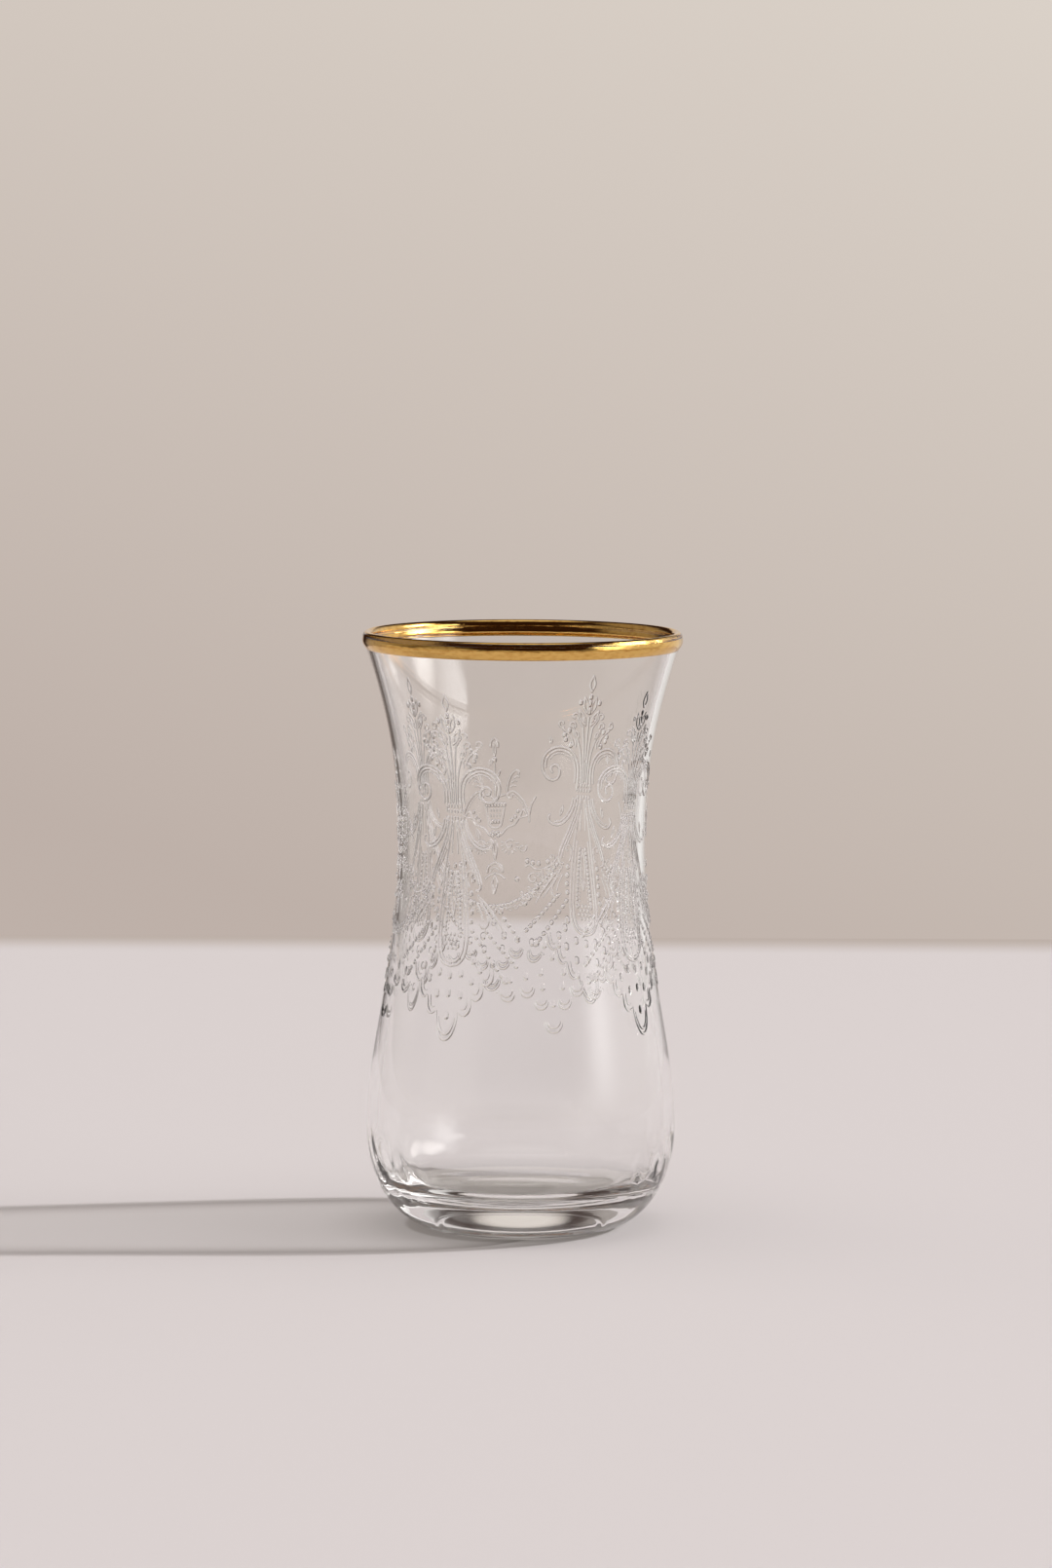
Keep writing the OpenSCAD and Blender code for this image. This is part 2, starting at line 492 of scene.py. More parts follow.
def evenly(line, step):
    """The same line with its points about a step apart."""
    along = np.concatenate([[0], np.cumsum(np.linalg.norm(np.diff(line, axis=0), axis=1))])
    places = np.linspace(0, along[-1], max(2, round(along[-1] / step) + 1))
    return np.stack([np.interp(places, along, line[:, k]) for k in (0, 1)], 1)


def headings(line):
    """The direction of travel at each point of a line."""
    run = np.gradient(line, axis=0)
    return run / np.linalg.norm(run, axis=1, keepdims=True)


def beside(line, off, start=0.0, stop=1.0):
    """A stretch of a line, moved to the left of its travel."""
    run = headings(line)
    moved = line + off * np.stack([-run[:, 1], run[:, 0]], 1)
    first, last = (round(share * (len(line) - 1)) for share in (start, stop))
    return evenly(moved[first:last + 1], line_step)


def curl(centre, radius, start, sweep, end_radius):
    """A round curl whose radius changes on its way; the angles are in degrees."""
    turn = np.radians(start + np.linspace(0, sweep, 25))
    size = np.linspace(radius, end_radius, 25)
    return evenly(np.array(centre) + np.stack([size * np.cos(turn), size * np.sin(turn)], 1), curl_step)


def leaf(foot_end, tip, width):
    """The two sides of a slim leaf."""
    a, b = np.array(foot_end, float), np.array(tip, float)
    across = np.array([a[1] - b[1], b[0] - a[0]]) / np.linalg.norm(b - a) * width / 2
    middle = a + 0.45 * (b - a)
    return [smooth(a, middle + across, b), smooth(a, middle - across, b)]


def beads(line, gap, length=0.22):
    """Short dabs along a line."""
    spots = evenly(line, gap)
    half = headings(spots) * length / 2
    return [np.array([spot - h, spot + h]) for spot, h in zip(spots, half)]


def dot(x, z, length=0.3):
    """One upright oval dab."""
    return np.array([[x, z - length / 2], [x, z + length / 2]])


def scallop(x, bottom, half_width, tall, lean=0.0):
    """A hanging loop and the shorter one inside it. It may lean to the left at its top, by degrees."""
    turn = np.radians(np.linspace(-172, -8, 21))
    outer = np.stack([half_width * np.cos(turn), tall * (1 + np.sin(turn))], 1)
    gap = max(0.17 * tall, 0.8)
    inner = np.stack([0.74 * half_width * np.cos(turn), gap + 0.6 * tall * (1 + np.sin(turn))], 1)
    c, s = math.cos(math.radians(lean)), math.sin(math.radians(lean))
    tipped = np.array([[c, s], [-s, c]])
    return [evenly(np.array([x, bottom]) + line @ tipped, loop_step) for line in (outer, inner)]


fine, middling, broad, dab = 0.16, 0.21, 0.26, 0.40      # half widths of the strokes

motif = []


def stroke(drawing, lines, half, ends=1.0):
    """Adds strokes of a half width, which thins out to a share of itself at the ends."""
    for line in lines if isinstance(lines, list) else [lines]:
        swell = np.sin(np.linspace(0, math.pi, len(line)))
        drawing.append((np.array(line, float), half * (ends + (1 - ends) * swell)))


# The main motif: a knot, volutes above it, stems that rise to a finial and a long drop below it.
volute = smooth(
    (1.55, 75.4), (1.35, 78.2), (1.6, 80.1), (2.3, 81.5), (3.4, 82.5), (5.3, 83.0), (7.1, 82.5), (8.3, 81.2),
    (8.65, 79.6), (8.3, 78.2), (7.5, 77.2), (6.4, 76.95), (5.5, 77.5), (5.2, 78.6), (5.6, 79.5), (6.4, 79.7),
    (7.0, 79.1), (6.7, 78.4),
)
stroke(motif, volute, broad)
stroke(motif, beside(volute, -0.62, 0.05, 0.62), middling)
stroke(motif, beads(beside(volute, -1.15, 0.24, 0.52), 0.5), fine)
for level in (74.1, 75.3, 76.2):
    stroke(motif, [dot(x, level, 0.35) for x in (0, 0.62, 1.24)], middling)
stroke(motif, smooth((0.75, 76.6), (0.85, 79.4), (1.2, 82.2), (2.2, 85.0), (3.0, 86.6)), middling)
stroke(motif, smooth((0.35, 76.6), (0.4, 80.0), (0.6, 83.5), (1.0, 86.6)), middling)
stroke(motif, smooth((0, 77.0), (0, 80.0), (0, 84.0), (0, 88.4)), middling)
stroke(motif, leaf((0, 92.9), (0, 95.6), 1.0), middling)
stroke(motif, [dot(0, 92.0), dot(0, 90.9, 0.5), dot(0, 89.5, 0.6)], dab)
stroke(motif, leaf((0.45, 89.2), (1.15, 91.9), 0.85), middling)
stroke(motif, leaf((0.55, 87.0), (2.0, 89.6), 0.9), middling)
stroke(motif, curl((2.75, 88.5), 0.75, -150, -290, 0.3), middling)
stroke(motif, smooth((1.0, 86.6), (1.6, 87.4), (2.1, 88.1)), middling)
stroke(motif, curl((3.2, 86.9), 0.7, 200, -300, 0.28), middling)
stroke(motif, leaf((1.7, 84.8), (2.9, 86.0), 0.8), fine)
stroke(motif, smooth((2.7, 83.5), (3.2, 84.6), (4.1, 85.6), (5.0, 86.3)), middling)
stroke(motif, curl((5.2, 87.2), 0.72, -120, 300, 0.3), middling)
sprig_dots = ((3.3, 83.4), (4.6, 85.2), (3.7, 86.0), (4.3, 84.4), (1.9, 91.0), (0.9, 88.0))
stroke(motif, [dot(x, z) for x, z in sprig_dots], dab)
stroke(motif, leaf((7.0, 83.7), (7.3, 84.7), 0.45), fine)
stroke(motif, smooth((2.3, 83.0), (2.2, 83.9), (2.6, 84.4)), fine)
drop = smooth(
    (0.5, 73.5), (1.0, 71.0), (1.6, 67.6), (2.2, 63.2), (2.75, 57.4), (2.95, 53.6), (2.65, 50.8),
    (1.6, 49.1), (0, 48.55),
)
stroke(motif, drop, broad)
stroke(motif, beside(drop, -0.62, 0.28, 1.0), middling)
stroke(motif, beads(beside(drop, -1.4, 0.33, 0.74), 0.78), dab * 0.75)
stroke(motif, beads(beside(drop, -1.95, 0.42, 0.7), 0.7, 0.15), fine)
stroke(motif, [smooth((0, 64.5), (0.45, 62.2), (0.4, 59.4), (0, 57.0))], middling)
for level, first in ((54.0, 0.4), (53.2, 0), (52.4, 0.4), (51.6, 0)):
    stroke(motif, [dot(x, level, 0.2) for x in np.arange(first, 1.4 if first else 1.1, 0.8)], dab * 0.7)
stroke(motif, smooth((0.28, 73.4), (0.45, 71.0), (0.62, 68.0)), fine)

# Below the knot: a broad scroll, a long double stem and a small hook.
scroll = smooth(
    (1.7, 73.7), (2.1, 72.2), (3.0, 70.5), (4.2, 69.3), (5.5, 68.8), (6.7, 69.1), (7.3, 69.9), (7.0, 70.6)
)
stroke(motif, scroll, broad)
stroke(motif, beside(scroll, 0.55, 0.0, 0.72), middling)
stem = smooth(
    (1.3, 73.5), (1.75, 71.4), (2.7, 69.0), (3.8, 66.6), (4.7, 64.6), (5.15, 63.0), (5.0, 61.9), (4.4, 61.7)
)
stroke(motif, stem, broad)
stroke(motif, beside(stem, -0.5, 0.06, 0.86), middling)
stroke(motif, beside(stem, -0.95, 0.2, 0.7), fine)
hook = smooth((2.95, 62.3), (2.55, 63.6), (2.65, 64.8), (3.2, 65.2), (3.65, 64.7), (3.4, 64.2))
stroke(motif, hook, middling)
stroke(motif, leaf((4.4, 72.3), (4.9, 70.6), 0.5), fine)

# A ribbon and rows of beads slant down from the drop towards the hem.
ribbon = smooth((4.6, 61.0), (6.2, 59.4), (7.6, 57.6), (8.9, 55.8), (9.9, 54.0))
stroke(motif, ribbon, 0.3, 0.3)
stroke(motif, beside(ribbon, -0.75, 0.12, 0.8), middling, 0.4)
bead_half = 0.11
for first, last, number in (
    ((5.6, 55.6), (11.6, 49.0), 9), ((3.8, 54.8), (9.9, 46.3), 9), ((9.5, 57.0), (11.8, 54.0), 4),
):
    row = np.linspace(first, last, number)
    lean = (row[1] - row[0]) / np.linalg.norm(row[1] - row[0]) * bead_half
    stroke(motif, [np.array([spot - lean, spot + lean]) for spot in row], dab)
ribbon_end = smooth((4.7, 60.9), (5.7, 59.0), (6.6, 57.2), (6.6, 55.9), (5.9, 55.3), (5.0, 56.0))
stroke(motif, ribbon_end, middling)
stroke(motif, smooth((4.5, 59.6), (5.3, 58.0), (5.7, 56.6)), fine)
stroke(motif, [dot(3.4, 61.2), dot(3.5, 59.6), dot(3.6, 58.0), dot(3.55, 56.4)], dab)

# The hem: hanging loops in a row, with ovals above them.
for x, bottom, half_width, tall, lean in (
    (0, 35.9, 2.0, 5.6, 0), (10.6, 43.1, 1.2, 1.9, 18), (13.45, 43.8, 1.2, 1.7, 0),
    (15.75, 41.7, 1.1, 1.4, 0), (eighth, 37.7, 1.45, 2.1, 0),
):
    stroke(motif, scallop(x, bottom, half_width, tall, lean), broad * 1.1, 0.5)
for x, z in ((3.3, 40.2), (5.25, 42.9), (6.95, 45.5)):
    outer_hook = smooth((x - 0.95, z + 0.35), (x - 0.2, z), (x + 0.6, z + 0.95), (x + 0.85, z + 2.9))
    inner_hook = smooth((x - 0.8, z + 1.2), (x - 0.25, z + 1.05), (x + 0.1, z + 1.75), (x + 0.2, z + 3.1))
    stroke(motif, outer_hook, broad * 1.25, 0.4)
    stroke(motif, inner_hook, middling, 0.5)
ovals = (
    (0, 40.1), (0, 43.9), (0, 47.0), (2.1, 47.4), (2.2, 43.7), (4.1, 46.2), (5.5, 48.2), (4.25, 49.7),
    (3.7, 51.2), (9.7, 46.7), (10.6, 46.7), (13.2, 47.3), (15.7, 48.0), (16.0, 45.5), (eighth, 50.6),
    (16.4, 52.7), (eighth, 42.6),
)
stroke(motif, [dot(x, z, 0.6) for x, z in ovals], dab * 1.2)
stroke(motif, [dot(8.5, 44.5, 0.1), dot(8.9, 44.8, 0.1), dot(9.0, 44.2, 0.1)], fine)

# The middle of a field: a hanging lamp with an urn, leafy arms and a pendant bud. One field goes without.
hanging = []


def field(*points):
    """A smooth line given by its distance from the middle of the field."""
    return smooth(*[(eighth - u, z) for u, z in points])


def field_dot(u, z, length=0.3):
    return dot(eighth - u, z, length)


stroke(hanging, field((0.68, 82.9), (0.62, 83.8), (0, 84.5)), middling)
stroke(hanging, leaf((eighth, 81.2), (eighth, 83.6), 0.5), fine)
stroke(hanging, [field_dot(0, 80.6), field_dot(0, 77.3, 0.4)], dab)
stroke(hanging, field((0, 80.2), (0, 79.2), (0, 78.2)), fine)
stroke(hanging, field((0, 77.7), (0.55, 77.6), (0.95, 78.5)), middling)
stroke(hanging, field((0, 76.8), (0, 75.0), (0, 73.2)), middling)
stroke(hanging, [field_dot(u, 72.4, 0.25) for u in (0, 0.6, 1.2, 1.75)], dab * 0.9)
stroke(hanging, field((1.75, 71.8), (1.55, 70.4), (1.15, 68.7)), middling)
stroke(hanging, [field_dot(u, z, 0.35) for u in (0.3, 0.9) for z in (71.4, 70.4)], fine)
stroke(hanging, [field_dot(u, 69.3, 0.25) for u in (0, 0.6)], dab * 0.8)
stroke(hanging, field((1.15, 68.6), (0.6, 68.2), (0, 68.1)), middling)
urn_foot = ((0, 67.1), (0.5, 67.3), (0.55, 66.7), (1.0, 67.0))
stroke(hanging, [field_dot(u, z, 0.15) for u, z in urn_foot], dab * 0.8)
arm = field((1.2, 66.9), (2.4, 68.2), (3.8, 68.8), (4.9, 70.4), (5.3, 71.4), (6.0, 70.8))
stroke(hanging, arm, middling)
stroke(hanging, [field_dot(u, z, 0.2) for u, z in ((3.2, 69.6), (3.9, 70.2), (4.4, 71.2))], dab * 0.8)
arch = field((2.3, 74.0), (3.4, 74.8), (4.8, 73.8), (5.8, 72.5), (6.5, 70.9), (6.6, 69.3))
stroke(hanging, arch, middling)
stroke(hanging, beads(beside(arch, 0.5, 0.2, 0.85), 0.6, 0.15), fine)
stroke(hanging, curl((eighth - 3.0, 74.0), 0.75, 100, -300, 0.25), middling)
stroke(hanging, field((0.2, 73.1), (0.8, 73.9), (1.8, 74.2)), middling)
stroke(hanging, field((6.6, 70.5), (7.0, 72.3), (7.8, 73.8)), middling)
plume = field((2.3, 74.8), (2.6, 76.4), (3.1, 77.7), (3.9, 78.6), (4.6, 78.5), (4.5, 77.9))
stroke(hanging, plume, middling)
for u, z in ((3.0, 75.6), (3.3, 76.5), (3.7, 77.2)):
    stroke(hanging, field((u, z), (u + 0.5, z + 0.35), (u + 0.9, z + 0.2)), fine)
stroke(hanging, field((6.3, 71.6), (6.7, 71.0), (6.2, 70.3), (5.3, 70.1), (4.4, 69.7), (3.8, 68.7)), fine)
shell_eye = np.array([eighth - 2.8, 65.0])
stroke(hanging, curl(shell_eye, 0.95, 130, -300, 0.35), middling)
for turn in np.radians(np.arange(-190, 20, 26)):
    ray = np.array([math.cos(turn), math.sin(turn)])
    stroke(hanging, np.array([shell_eye + 1.25 * ray, shell_eye + 1.7 * ray]), fine)
stroke(hanging, curl((eighth - 5.3, 64.4), 0.85, 150, 300, 0.3), middling)
stroke(hanging, leaf((eighth, 65.9), (eighth, 62.3), 0.7), middling)
stroke(hanging, field((1.5, 60.0), (1.3, 61.0), (0, 61.75)), broad)
stroke(hanging, field((0.8, 60.1), (0.5, 60.6), (0, 60.8)), fine)
stroke(hanging, field((0.2, 59.7), (1.0, 59.4), (1.9, 58.7)), middling)
stroke(hanging, leaf((eighth, 59.3), (eighth, 56.0), 0.95), middling)
stroke(hanging, field_dot(4.3, 58.6, 0.2), dab * 1.1)

# Under the lamp a swag of curly beads hangs from stem to stem, with sprigs above it.
swag_x = np.linspace(5.2, eighth, 40)
swag_low, swag_bend = 53.1, 0.052
swag = evenly(np.stack([swag_x, swag_low + swag_bend * (eighth - swag_x) ** 2], 1), curl_step)
stroke(hanging, beads(beside(swag, 0.5), 0.85, 0.2), dab * 0.85)
for i, spot in enumerate(evenly(beside(swag, -0.4), 1.05)):
    stroke(hanging, curl(spot + [0, 0.16 * math.sin(5 * i)], 0.42, 40 + 77 * i, 260, 0.3), fine)
upper_curls = evenly(beside(swag, 1.15, 0.05, 0.6), 1.6)
stroke(hanging, [curl(spot, 0.42, 60, 270, 0.25) for spot in upper_curls], fine)
sprig = smooth((5.4, 62.9), (6.6, 61.5), (8.4, 60.6), (9.9, 60.5), (11.0, 61.3), (11.7, 61.0))
stroke(hanging, sprig, middling)
stroke(hanging, smooth((8.6, 60.5), (8.4, 59.0), (7.4, 58.0)), middling)
stroke(hanging, curl((10.3, 58.7), 1.05, 100, -330, 0.35), middling)
berries = ((11.4, 62.0), (10.4, 61.7), (7.4, 62.0), (9.2, 61.6), (6.4, 59.6), (7.0, 60.4))
stroke(hanging, [dot(x, z) for x, z in berries], dab)
stroke(hanging, [curl((6.6, 62.8), 0.5, 200, -280, 0.25), curl((9.3, 59.4), 0.45, 30, 280, 0.2)], fine)


round_from = 0.3              # strokes of more than this half width get rounder ends


def outline_of(line, half):
    """A closed outline round a stroke, with round ends."""
    run = headings(line)
    left = half[:, None] * np.stack([-run[:, 1], run[:, 0]], 1)
    corners = np.linspace(72, -72, 5) if half.max() > round_from else np.linspace(60, -60, 3)
    turn = np.radians(corners)[:, None]
    caps = [
        line[i] + np.cos(turn) * half[i] * way * run[i] + np.sin(turn) * way * left[i]
        for i, way in ((-1, 1), (0, -1))
    ]
    return np.concatenate([line + left, caps[0], (line - left)[::-1], caps[1]])


far_off = 9.0                 # share across a stroke for a point that is near none


def nearest_stroke(points, strokes):
    """For each point: how far across the nearest stroke it lies (1 is the edge), the way out of it, and its
    half width."""
    share = np.full(len(points), far_off)
    away = np.zeros((len(points), 2))
    width = np.ones(len(points))
    for line, half in strokes:
        reach = 1.05 * half.max()
        low, high = line.min(0) - reach, line.max(0) + reach
        near = np.flatnonzero(np.all((points > low) & (points < high), axis=1))
        if not len(near):
            continue
        a, run = line[:-1], np.diff(line, axis=0)
        rel = points[near][:, None, :] - a[None]
        t = np.clip((rel * run).sum(2) / (run ** 2).sum(1), 0, 1)
        gap = rel - t[:, :, None] * run
        wide = half[:-1] + t * np.diff(half)
        size = np.linalg.norm(gap, axis=2) / wide
        best = size.argmin(1)
        rows = np.arange(len(near))
        now = size[rows, best]
        closer = now < share[near]
        spots = near[closer]
        share[spots] = now[closer]
        way = gap[rows, best][closer]
        away[spots] = way / np.maximum(np.linalg.norm(way, axis=1, keepdims=True), 1e-9)
        width[spots] = wide[rows, best][closer]
    return share, away, width


wall_r = outside[:, 0]
wall_z = outside[:, 1]
stroke_steepness = 1.4        # slope at the edge of each rounded stroke
steep_width = 0.4             # strokes of more than this half width are flatter
carry_over = 1.2              # strokes this near a mirror line are carried over it
panel_rows, panel_columns = 54, 14


def panel_object(name, drawn):
    """One eighth of the wall with its strokes, still flat: angle round, height and radius as x, y and z."""
    strokes = list(drawn)
    for line, half in drawn:
        if line[:, 0].min() < carry_over and line[:, 0].max() > 0:
            strokes.append((line * [-1, 1], half))
        if line[:, 0].max() > eighth - carry_over and line[:, 0].min() < eighth:
            strokes.append((line * [-1, 1] + [2 * eighth, 0], half))
    points, edges = [], []

    def add(row, closed):
        first = len(points)
        points.extend(row)
        edges.extend((first + i, first + i + 1) for i in range(len(row) - 1))
        if closed:
            edges.append((first + len(row) - 1, first))

    sides = np.linspace(0, eighth, steps_round // 8 + 1)
    levels = np.linspace(lace_low, lace_high, panel_rows + 1)
    frame_line = [(x, lace_low) for x in sides] + [(eighth, z) for z in levels[1:]]
    frame_line += [(x, lace_high) for x in sides[-2::-1]] + [(0, z) for z in levels[-2:0:-1]]
    add(frame_line, True)
    for line, half in strokes:
        add(outline_of(line, half), True)
        add(line, False)
    columns = np.linspace(0, eighth, panel_columns + 1)[:-1]
    for i, z in enumerate(levels[1:-1]):
        shift = 0.5 * (i % 2)
        points.extend((x, z) for x in columns + (shift + 0.25) * eighth / panel_columns)
    flat, _, faces, _, _, _ = delaunay_2d_cdt([Vector(p) for p in points], edges, [], 0, 1e-5)
    flat = np.array([tuple(v) for v in flat])
    faces = np.array([f for f in faces if len(f) == 3])
    centres = flat[faces].mean(1)
    kept = np.all((centres > (0, lace_low)) & (centres < (eighth, lace_high)), axis=1)
    faces, centres = faces[kept], centres[kept]
    used, faces = np.unique(faces, return_inverse=True)
    flat, faces = flat[used], faces.reshape(-1, 3)
    share, away, width = nearest_stroke(flat, strokes)
    steepness = stroke_steepness * np.minimum(1, steep_width / width)
    rise = np.where(share < 1, 0.5 * steepness * width * (1 - share ** 2), 0)
    radius = np.interp(flat[:, 1], wall_z, wall_r) + rise
    vertices = np.stack([flat[:, 0] / flat_r, flat[:, 1] * MM, radius * MM], 1)
    panel = mesh_object(name, vertices, faces)
    face_share = nearest_stroke(centres, strokes)[0]
    slope = (steepness * np.minimum(share, 1))[:, None] * away * (share < 1.1)[:, None]
    corners = faces.reshape(-1)
    tilt = np.zeros((len(corners), 3))
    tilt[:, :2] = slope[corners] * np.repeat(face_share < 1, 3)[:, None]
    tilt[:, 2] = 1
    layer = panel.data.attributes.new("tilt", "FLOAT_VECTOR", "CORNER")
    layer.data.foreach_set("vector", tilt.astype(np.float32).reshape(-1))
    return panel


def wrapping_tree():
    """Bends a flat eighth round the wall, mirrors it to a quarter and repeats the quarter."""
    tree = bpy.data.node_groups.new("wrap_lace", "GeometryNodeTree")
    tree.interface.new_socket("Eighth", in_out="INPUT", socket_type="NodeSocketGeometry")
    copies = tree.interface.new_socket("Copies", in_out="INPUT", socket_type="NodeSocketInt")
    first = tree.interface.new_socket("First turn", in_out="INPUT", socket_type="NodeSocketFloat")
    finish = tree.interface.new_socket("Material", in_out="INPUT", socket_type="NodeSocketMaterial")
    tree.interface.new_socket("Lace", in_out="OUTPUT", socket_type="NodeSocketGeometry")
    given = put(tree, "NodeGroupInput").outputs
    place = put(tree, "GeometryNodeInputPosition").outputs[0]
    x, y, z = put(tree, "ShaderNodeSeparateXYZ", {0: place}).outputs

    def bent(angle):
        right = reckoned(tree, "MULTIPLY", reckoned(tree, "SINE", angle), z)
        back = reckoned(tree, "MULTIPLY", reckoned(tree, "COSINE", angle), z)
        front = reckoned(tree, "MULTIPLY", back, -1.0)
        return put(tree, "ShaderNodeCombineXYZ", {0: right, 1: front, 2: y}).outputs[0]

    other_angle = reckoned(tree, "SUBTRACT", math.pi / 2, x)
    tilt = put(tree, "GeometryNodeInputNamedAttribute", {"Name": "tilt"}, data_type="FLOAT_VECTOR")
    other_tilt = put(
        tree, "ShaderNodeVectorMath", {0: tilt.outputs[0], 1: (-1, 1, 1)}, operation="MULTIPLY"
    ).outputs[0]
    one = put(tree, "GeometryNodeSetPosition", {"Geometry": given["Eighth"], "Position": bent(x)})
    marked = put(
        tree, "GeometryNodeStoreNamedAttribute",
        {"Geometry": given["Eighth"], "Name": "tilt", "Value": other_tilt},
        data_type="FLOAT_VECTOR", domain="CORNER",
    )
    other = put(
        tree, "GeometryNodeSetPosition", {"Geometry": marked.outputs[0], "Position": bent(other_angle)}
    )
    flipped = put(tree, "GeometryNodeFlipFaces", {"Mesh": other.outputs[0]})
    both = put(tree, "GeometryNodeJoinGeometry")
    tree.links.new(one.outputs[0], both.inputs[0])
    tree.links.new(flipped.outputs[0], both.inputs[0])
    quarter = put(tree, "GeometryNodeGeometryToInstance", {0: both.outputs[0]})
    repeated = put(
        tree, "GeometryNodeDuplicateElements", {"Geometry": quarter.outputs[0], "Amount": given["Copies"]},
        domain="INSTANCE",
    )
    number = repeated.outputs["Duplicate Index"]
    angle = reckoned(tree, "MULTIPLY_ADD", number, math.pi / 2, given["First turn"])
    turn = put(tree, "ShaderNodeCombineXYZ", {2: angle}).outputs[0]
    turned = put(tree, "GeometryNodeRotateInstances", {"Instances": repeated.outputs[0], "Rotation": turn})
    real = put(tree, "GeometryNodeRealizeInstances", {"Geometry": turned.outputs[0]})
    merged = put(tree, "GeometryNodeMergeByDistance", {"Geometry": real.outputs[0], "Distance": same_place})
    painted = put(
        tree, "GeometryNodeSetMaterial", {"Geometry": merged.outputs[0], "Material": given["Material"]}
    )
    put(tree, "NodeGroupOutput", {"Lace": painted.outputs[0]})
    return tree, copies.identifier, first.identifier, finish.identifier


wrap_lace, copies_input, first_input, lace_material_input = wrapping_tree()


def lace_mesh(name, drawn, copies, first_turn):
    return plain_mesh(
        panel_object(name, drawn), wrap_lace,
        {copies_input: copies, first_input: first_turn, lace_material_input: glass_finish},
    )


bare_field = lace_mesh("bare_field", motif, 1, front_axis)
lamp_fields = lace_mesh("lamp_fields", motif + hanging, 3, front_axis + math.pi / 2)


def wall_point(level):
    return np.array([[np.interp(level, wall_z, wall_r), level]])


below = np.concatenate([punt, foot_ring, outside[wall_z < lace_low], wall_point(lace_low)])
above = np.concatenate([
    wall_point(lace_high), outside[wall_z > lace_high], lip, inside[::-1], floor_line[::-1]
])
lower = turned_mesh("lower", below, glass_finish)
upper = turned_mesh("upper", above, glass_finish)

body = bmesh.new()
for part in (bare_field, lamp_fields, lower, upper):
    body.from_mesh(part)
bmesh.ops.remove_doubles(body, verts=body.verts, dist=2 * same_place)
bmesh.ops.recalc_face_normals(body, faces=body.faces)
vessel_mesh = bpy.data.meshes.new("vessel")
body.to_mesh(vessel_mesh)
body.free()
vessel_mesh.materials.clear()
vessel_mesh.materials.append(glass_finish)
vessel_mesh.polygons.foreach_set("use_smooth", np.ones(len(vessel_mesh.polygons), bool))
vessel_mesh.polygons.foreach_set("material_index", np.zeros(len(vessel_mesh.polygons), np.int32))

# The blown inner corner of the base is not quite round: slow waves run round it, most at the two sides.
wave_depth = 0.35
wave_level, wave_spread = 11, 4.5
wave_twist = 0.6              # how far the waves turn with the height
wave_start_r = 11.8
clear_of_wall = 0.6
spots = np.zeros(3 * len(vessel_mesh.vertices), np.float32)
vessel_mesh.vertices.foreach_get("co", spots)
spots = spots.reshape(-1, 3)
spot_r = np.linalg.norm(spots[:, :2], axis=1) / MM
spot_z = spots[:, 2] / MM
spot_turn = np.arctan2(spots[:, 1], spots[:, 0])
waves = sum(
    share * np.sin(count * spot_turn + shift + wave_twist * spot_z)
    for count, share, shift in ((9, 0.5, 0.4), (17, 0.5, 2.1), (31, 0.35, 4.0), (47, 0.2, 1.3))
)
in_corner = np.exp(-((spot_z - wave_level) / wave_spread) ** 2) * (spot_r > wave_start_r)
at_sides = np.cos(spot_turn) ** 4
on_inside = spot_r < np.interp(spot_z, wall_z, wall_r) - clear_of_wall
push = 1 + wave_depth * waves * in_corner * at_sides * on_inside / np.maximum(spot_r, 1)
spots[:, :2] *= push[:, None]
vessel_mesh.vertices.foreach_set("co", spots.reshape(-1))

# Each corner of the lace shades as a rounded stroke, or as the plain wall beside it.
corner_vertex = np.zeros(len(vessel_mesh.loops), np.int32)
vessel_mesh.loops.foreach_get("vertex_index", corner_vertex)
place = np.zeros(3 * len(vessel_mesh.vertices), np.float32)
vessel_mesh.vertices.foreach_get("co", place)
place = place.reshape(-1, 3)[corner_vertex]
tilt = np.zeros(3 * len(vessel_mesh.loops), np.float32)
vessel_mesh.attributes["tilt"].data.foreach_get("vector", tilt)
tilt = tilt.reshape(-1, 3)
out = place[:, :2] / np.maximum(np.linalg.norm(place[:, :2], axis=1, keepdims=True), 1e-9)
lean = np.interp(place[:, 2] / MM, wall_z, np.gradient(wall_r, wall_z))
zero = np.zeros(len(lean))
steep = np.sqrt(1 + lean ** 2)
outward = np.stack([out[:, 0], out[:, 1], -lean], 1) / steep[:, None]
upward = np.stack([out[:, 0] * lean, out[:, 1] * lean, zero + 1], 1) / steep[:, None]
sideways = np.stack([-out[:, 1], out[:, 0], zero], 1)
normal = outward + tilt[:, :1] * sideways + tilt[:, 1:2] * upward
normal /= np.linalg.norm(normal, axis=1, keepdims=True)
normal[tilt[:, 2] < 0.5] = 0
vessel_mesh.normals_split_custom_set(normal.tolist())
vessel_mesh.attributes.remove(vessel_mesh.attributes["tilt"])

vessel = bpy.data.objects.new("vessel", vessel_mesh)
scene.collection.objects.link(vessel)
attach(vessel, "root")
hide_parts("glass_vessel")


# The gold rim: a coat of bright gold, brushed on over the rounded lip and fired. It is a little thicker
# where the lip turns over, and fine marks of the brush run along it.

_, gold_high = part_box("gold_rim")
inside_box = 0.02             # the coat stays this far inside the solid's box
gold_r = gold_high.x / MM - inside_box
gold_top = gold_high.z / MM
gold_out_z, gold_in_z = height - 3.0, height - 2.2
swell_z, inner_swell_z = height - 1.45, height - 0.95
inner_coat = 0.09
under = 0.06                  # how far the coat's hidden face lies below the surface of the glass


def inner_wall_r(level):
    return np.interp(level, inside[:, 1], inside[:, 0])


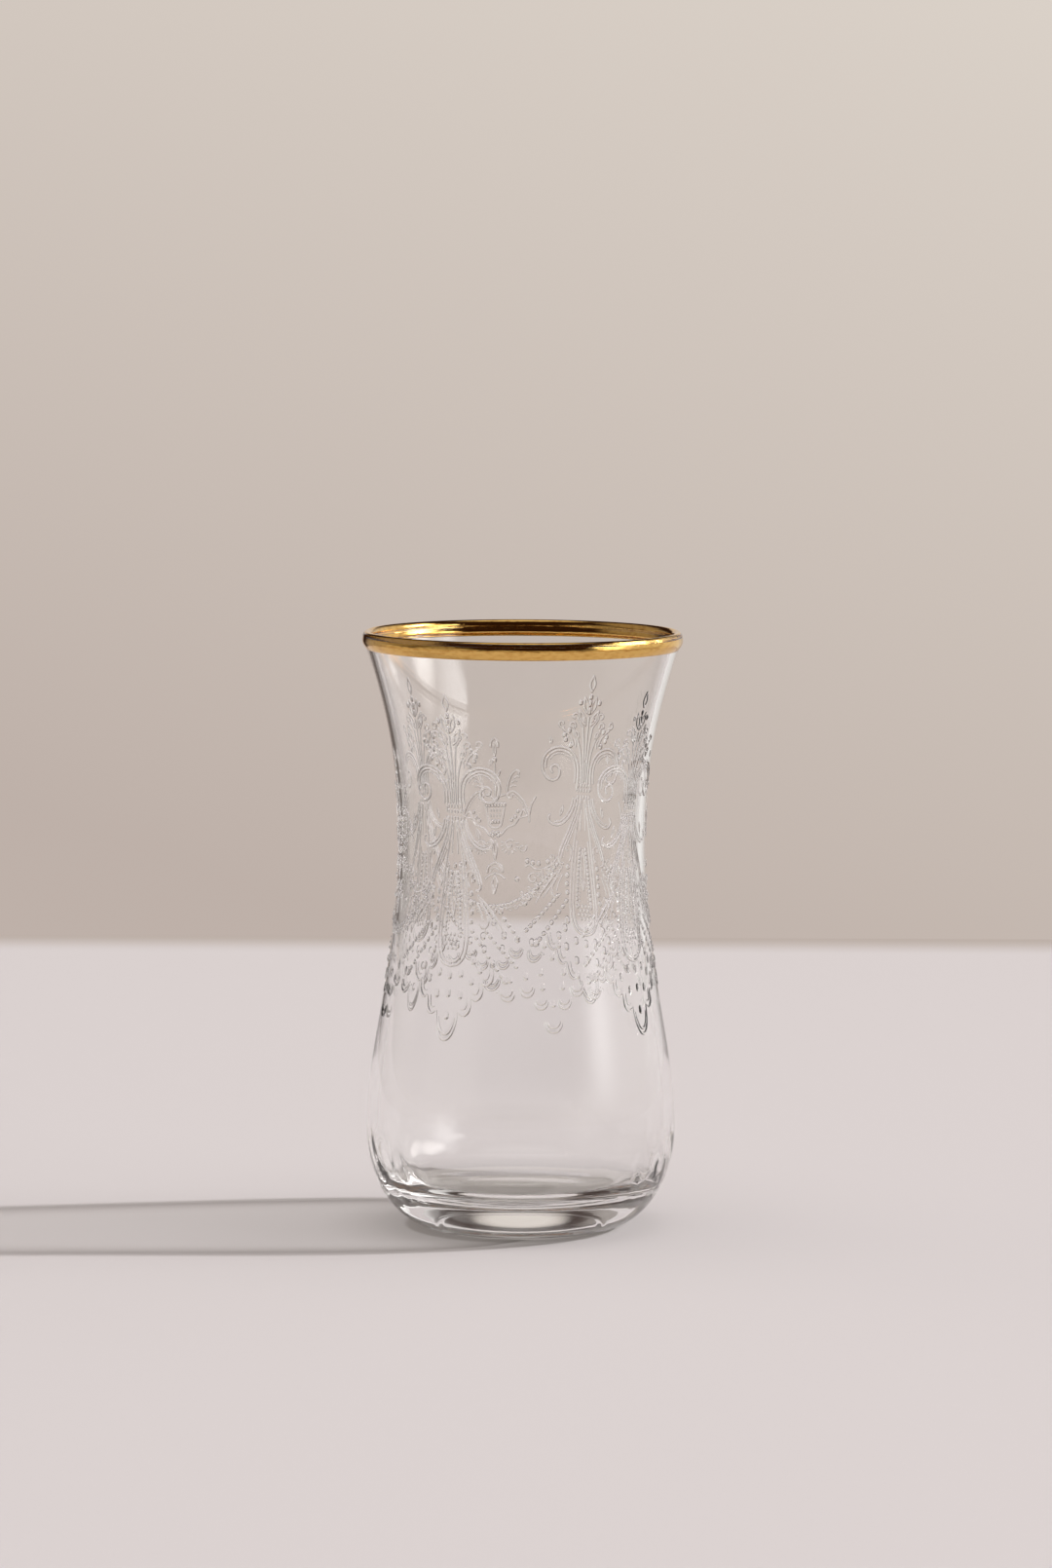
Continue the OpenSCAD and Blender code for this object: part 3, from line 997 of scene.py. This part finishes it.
quarter = np.linspace(0, math.pi / 2, 11)[:, None]
outer_foot = wall_point(gold_out_z)[0]
inner_foot = np.array([inner_wall_r(gold_in_z), gold_in_z])
swell = np.array([gold_r, swell_z])
crest = np.array([lip_centre[0], gold_top])
inner_swell = np.array([lip_inside_r - inner_coat, inner_swell_z])
across_out, up_out = swell[0] - crest[0], crest[1] - swell[1]
across_in, up_in = inner_swell[0] - crest[0], crest[1] - inner_swell[1]
gold_outside = bezier(outer_foot, outer_foot + [0.42, 0.5], swell - [0, 0.6], swell, steps=10)
gold_over = [across_out, 0] * np.cos(quarter) + [0, up_out] * np.sin(quarter) + [crest[0], swell_z]
gold_back = [across_in, 0] * np.sin(quarter) + [0, up_in] * np.cos(quarter) + [crest[0], inner_swell_z]
gold_inside = bezier(inner_swell, inner_swell - [0.05, 0.5], inner_foot + [0, 0.5], inner_foot, steps=6)
covered_out = outside[outside[:, 1] > gold_out_z] - [under, 0]
covered_in = inside[inside[:, 1] > gold_in_z] + [under, 0]
covered_lip = lip_centre + (lip - lip_centre) * (1 - under / lip_t * 2)
gold_section = np.concatenate([
    gold_outside, gold_over[1:], gold_back[1:], gold_inside[1:],
    [inner_foot + [under, 0]], covered_in, covered_lip[::-1], covered_out[::-1], [outer_foot - [under, 0]],
    gold_outside[:1],
])


gold_full, gold_thin = (0.80, 0.50, 0.15, 1), (0.62, 0.33, 0.08, 1)


def gold_material():
    """Fired gold: warm, bright, with fine marks of the brush along the rim and a few thin places."""
    material, tree = new_material("fired_gold")
    place = put(tree, "ShaderNodeTexCoord").outputs["Object"]
    along = put(tree, "ShaderNodeMapping", {"Vector": place, "Scale": (140, 140, 2600)})
    brush = put(tree, "ShaderNodeTexNoise", {"Vector": along.outputs[0], "Scale": 1.0, "Detail": 3.0})
    wide = put(tree, "ShaderNodeMapping", {"Vector": place, "Scale": (800, 800, 2200)})
    patches = put(
        tree, "ShaderNodeTexNoise", {"Vector": wide.outputs[0], "Scale": 1.0, "Detail": 4.0}
    ).outputs[0]
    thin = put(tree, "ShaderNodeMapRange", {"Value": patches, "From Min": 0.45, "From Max": 0.75})
    rough = put(tree, "ShaderNodeMapRange", {"Value": patches, "To Min": 0.015, "To Max": 0.07})
    grain = put(tree, "ShaderNodeBump", {"Height": patches, "Strength": 0.25, "Distance": 0.0001})
    marks = put(
        tree, "ShaderNodeBump",
        {"Height": brush.outputs[0], "Strength": 0.18, "Distance": 0.0002, "Normal": grain.outputs[0]},
    )
    metal = put(
        tree, "ShaderNodeBsdfPrincipled",
        {"Base Color": blended(tree, thin.outputs[0], gold_full, gold_thin), "Metallic": 1.0,
         "Roughness": rough.outputs[0], "Normal": marks.outputs[0]},
    )
    put(tree, "ShaderNodeOutputMaterial", {"Surface": metal.outputs[0]})
    return material


gold_mesh = turned_mesh("gold_coat", gold_section, gold_material())
gold_body = bmesh.new()
gold_body.from_mesh(gold_mesh)
bmesh.ops.remove_doubles(gold_body, verts=gold_body.verts, dist=2 * same_place)
bmesh.ops.recalc_face_normals(gold_body, faces=gold_body.faces)
gold_body.to_mesh(gold_mesh)
gold_body.free()
gold_mesh.polygons.foreach_set("use_smooth", np.ones(len(gold_mesh.polygons), bool))
gold = bpy.data.objects.new("gold_coat", gold_mesh)
scene.collection.objects.link(gold)
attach(gold, "root")
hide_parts("gold_rim")
